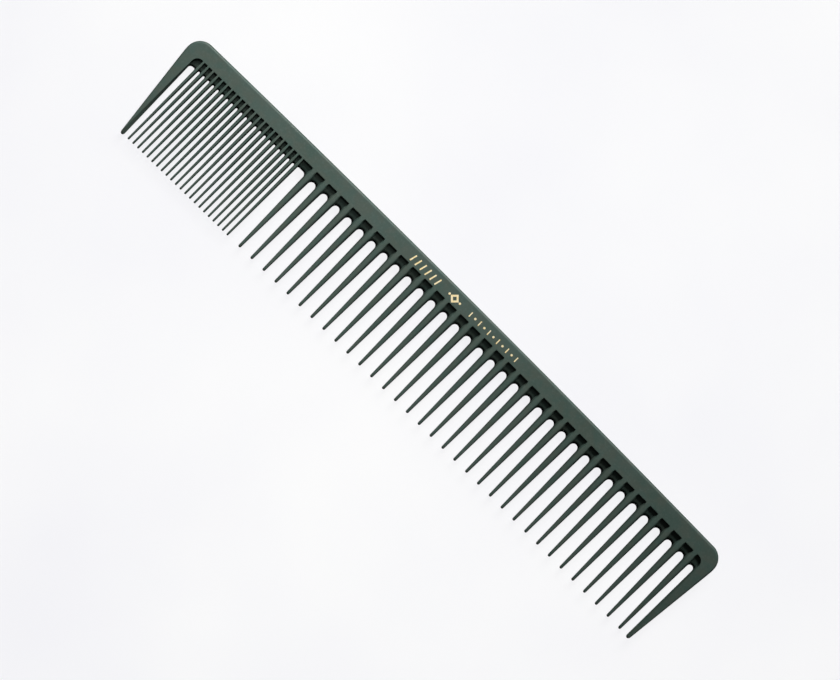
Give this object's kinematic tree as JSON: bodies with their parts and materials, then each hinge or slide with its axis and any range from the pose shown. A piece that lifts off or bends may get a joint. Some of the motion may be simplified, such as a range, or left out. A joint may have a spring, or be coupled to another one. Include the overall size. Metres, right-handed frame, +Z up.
{
  "type": "cutting comb",
  "caption": "Slim one-piece hair cutting comb with a short run of fine teeth, a long run of coarse teeth, a stout guard tooth at each end and a thick flat spine.",
  "frame": {"origin": "centre of the comb's footprint, on the plane that its back face lies on", "axes": "+X along the comb from the fine end to the coarse end, -Y the way the teeth point, +Z up through the thickness"},
  "size_m": [0.2206, 0.0384, 0.0041],
  "materials": {
    "comb_plastic": "satin moulded, dark grey-green",
    "gold_foil": "hot-stamped foil film"
  },
  "bodies": {
    "root": {"spine": "comb_plastic", "tooth_web": "comb_plastic", "fine_end_guard": "comb_plastic", "coarse_end_guard": "comb_plastic", "fine_tooth_01": "comb_plastic", "fine_tooth_02": "comb_plastic", "fine_tooth_03": "comb_plastic", "fine_tooth_04": "comb_plastic", "fine_tooth_05": "comb_plastic", "fine_tooth_06": "comb_plastic", "fine_tooth_07": "comb_plastic", "fine_tooth_08": "comb_plastic", "fine_tooth_09": "comb_plastic", "fine_tooth_10": "comb_plastic", "fine_tooth_11": "comb_plastic", "fine_tooth_12": "comb_plastic", "fine_tooth_13": "comb_plastic", "fine_tooth_14": "comb_plastic", "fine_tooth_15": "comb_plastic", "fine_tooth_16": "comb_plastic", "fine_tooth_17": "comb_plastic", "fine_tooth_18": "comb_plastic", "fine_tooth_19": "comb_plastic", "fine_tooth_20": "comb_plastic", "fine_tooth_21": "comb_plastic", "fine_tooth_22": "comb_plastic", "coarse_tooth_01": "comb_plastic", "coarse_tooth_02": "comb_plastic", "coarse_tooth_03": "comb_plastic", "coarse_tooth_04": "comb_plastic", "coarse_tooth_05": "comb_plastic", "coarse_tooth_06": "comb_plastic", "coarse_tooth_07": "comb_plastic", "coarse_tooth_08": "comb_plastic", "coarse_tooth_09": "comb_plastic", "coarse_tooth_10": "comb_plastic", "coarse_tooth_11": "comb_plastic", "coarse_tooth_12": "comb_plastic", "coarse_tooth_13": "comb_plastic", "coarse_tooth_14": "comb_plastic", "coarse_tooth_15": "comb_plastic", "coarse_tooth_16": "comb_plastic", "coarse_tooth_17": "comb_plastic", "coarse_tooth_18": "comb_plastic", "coarse_tooth_19": "comb_plastic", "coarse_tooth_20": "comb_plastic", "coarse_tooth_21": "comb_plastic", "coarse_tooth_22": "comb_plastic", "coarse_tooth_23": "comb_plastic", "coarse_tooth_24": "comb_plastic", "coarse_tooth_25": "comb_plastic", "coarse_tooth_26": "comb_plastic", "coarse_tooth_27": "comb_plastic", "coarse_tooth_28": "comb_plastic", "coarse_tooth_29": "comb_plastic", "coarse_tooth_30": "comb_plastic", "coarse_tooth_31": "comb_plastic", "coarse_tooth_32": "comb_plastic", "coarse_tooth_33": "comb_plastic", "foil_marks": "gold_foil"}
  },
  "joints": []
}
